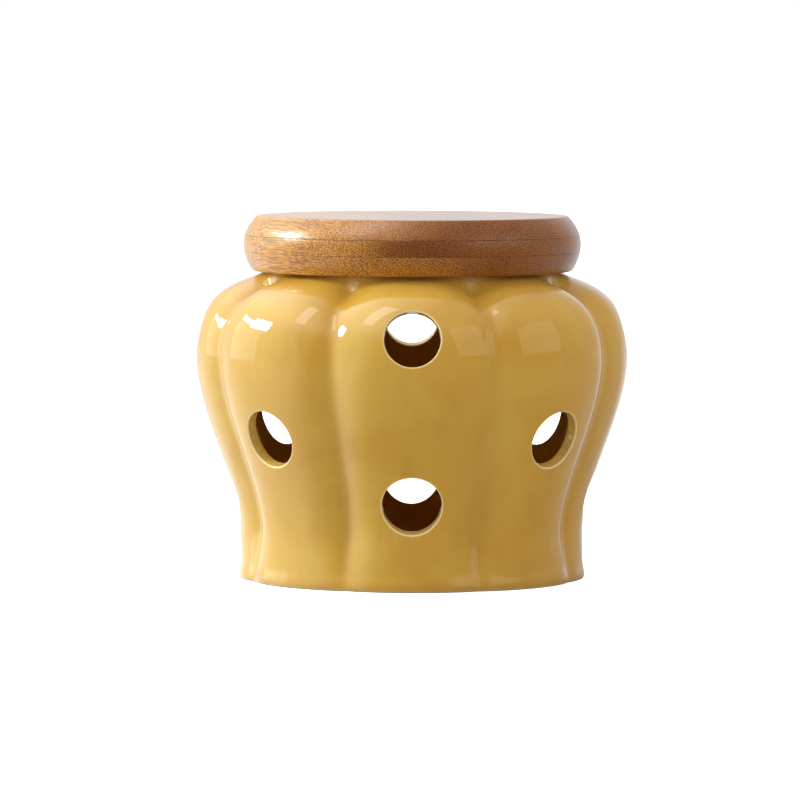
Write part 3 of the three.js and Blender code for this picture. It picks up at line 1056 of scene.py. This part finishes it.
def seen_directly(tree, path):
    """1 where the camera sees a thing, itself or through something clear."""
    return maths(tree, "MAXIMUM", path["Is Camera Ray"], path["Is Transmission Ray"])


def studio_world():
    """A bright ceiling over a softly lit room, white to the camera."""
    world = bpy.data.worlds.new("studio")
    bpy.context.scene.world = world
    world.use_nodes = True
    tree = world.node_tree
    tree.nodes.clear()
    path = node(tree, "ShaderNodeLightPath").outputs
    is_gloss = path["Is Glossy Ray"]
    right, back, up = parts(tree, node(tree, "ShaderNodeTexCoord").outputs["Generated"])
    fill = room_light(tree, right, back, FILL_FRONT, FILL_LEFT, FILL_RIGHT)
    room = mixed(tree, is_gloss, fill, gloss_light(tree, right, back))
    ceiling = swell(tree, right, *CEILING_SIDE_SPAN, CEILING_LEFT, CEILING_RIGHT)
    ceiling = mixed(tree, is_gloss, CEILING_FILL, ceiling)
    room = mixed(tree, swell(tree, up, *CEILING_RISE_SPAN, 0, 1), room, ceiling)
    strength = mixed(tree, seen_directly(tree, path), room, 1)
    background = node(tree, "ShaderNodeBackground", {"Color": (*WHITE, 1), "Strength": strength})
    node(tree, "ShaderNodeOutputWorld", {"Surface": background.outputs[0]})


def table_top():
    """A wide white table. It glows to the camera, so that it reads as white, and in gloss it shows the
    room's light, so that the room has no horizon."""
    material, tree = new_material("white_table")
    path = node(tree, "ShaderNodeLightPath").outputs
    is_gloss = path["Is Glossy Ray"]
    seen = seen_directly(tree, path)
    level = placed(tree, (1, 1, 0))
    way = node(tree, "ShaderNodeVectorMath", {0: level}, operation="NORMALIZE").outputs[0]
    right, back, _ = parts(tree, way)
    pale = mixed(tree, seen, mixed(tree, is_gloss, TABLE_FILL, TABLE_GLOSS), TABLE_SEEN)
    diffuse = node(tree, "ShaderNodeBsdfDiffuse", {"Color": pale})
    sheen = maths(tree, "MULTIPLY", is_gloss, gloss_light(tree, right, back))
    glow = node(tree, "ShaderNodeEmission", {
        "Strength": maths(tree, "MULTIPLY_ADD", seen, TABLE_GLOW, sheen),
    })
    both = node(tree, "ShaderNodeAddShader", {0: diffuse.outputs[0], 1: glow.outputs[0]})
    node(tree, "ShaderNodeOutputMaterial", {"Surface": both.outputs[0]})
    bm = bmesh.new()
    bmesh.ops.create_circle(bm, cap_ends=True, radius=TABLE_RADIUS, segments=TABLE_SIDES)
    mesh = bpy.data.meshes.new("table_top")
    bm.to_mesh(mesh)
    bm.free()
    mesh.materials.append(material)
    made = bpy.data.objects.new("table_top", mesh)
    bpy.context.scene.collection.objects.link(made)


def panel(name, azimuth, elevation, distance, width, height, radiance, colour):
    """A studio lamp that faces the middle of the object, as bright as radiance in gloss.
    Its azimuth runs from the front, less than 0 to the left and more than 0 to the right."""
    data = bpy.data.lights.new(name, "AREA")
    data.shape = "RECTANGLE"
    data.color = colour
    data.size = width
    data.size_y = height
    data.energy = radiance * POWER_PER_RADIANCE * width * height
    made = bpy.data.objects.new(name, data)
    bpy.context.scene.collection.objects.link(made)
    way = Matrix.Rotation(math.radians(azimuth), 3, "Z") @ Matrix.Rotation(-math.radians(elevation), 3, "X")
    place = way @ Vector((0, -distance, 0)) + LAMP_AIM
    turn = (place - LAMP_AIM).to_track_quat("Z", "Y").to_matrix().to_4x4()
    made.matrix_world = Matrix.Translation(place) @ turn


camera()
bpy.context.scene.view_settings.view_transform = "Standard"
studio_world()
table_top()
for lamp in LAMPS:
    panel(*lamp)

glaze = glaze_material()
top_bamboo = bamboo_material("top_bamboo", 2, TOP_PLY_TONES_AND_LIGHT)
middle_bamboo = bamboo_material("middle_bamboo", 1, MIDDLE_PLY_TONES_AND_LIGHT)
bottom_bamboo = bamboo_material("bottom_bamboo", 0, BOTTOM_PLY_TONES_AND_LIGHT)
silicone = silicone_material()

make_jar(glaze)
make_ply(
    "lid_base", JAR_HEIGHT, BOTTOM_JOINT_HEIGHT, BASE_ARRIS, JOINT_ARRIS,
    bottom_bamboo, "outer_bamboo", "lid_bottom_ply",
)
make_ply(
    "lid_core", BOTTOM_JOINT_HEIGHT, TOP_JOINT_HEIGHT, JOINT_ARRIS, JOINT_ARRIS,
    middle_bamboo, "middle_bamboo", "lid_middle_ply",
)
make_ply(
    "lid_face", TOP_JOINT_HEIGHT, LID_TOP_HEIGHT, JOINT_ARRIS, TOP_ARRIS,
    top_bamboo, "outer_bamboo", "lid_top_ply",
)
make_plug(bottom_bamboo)
make_ring(silicone)
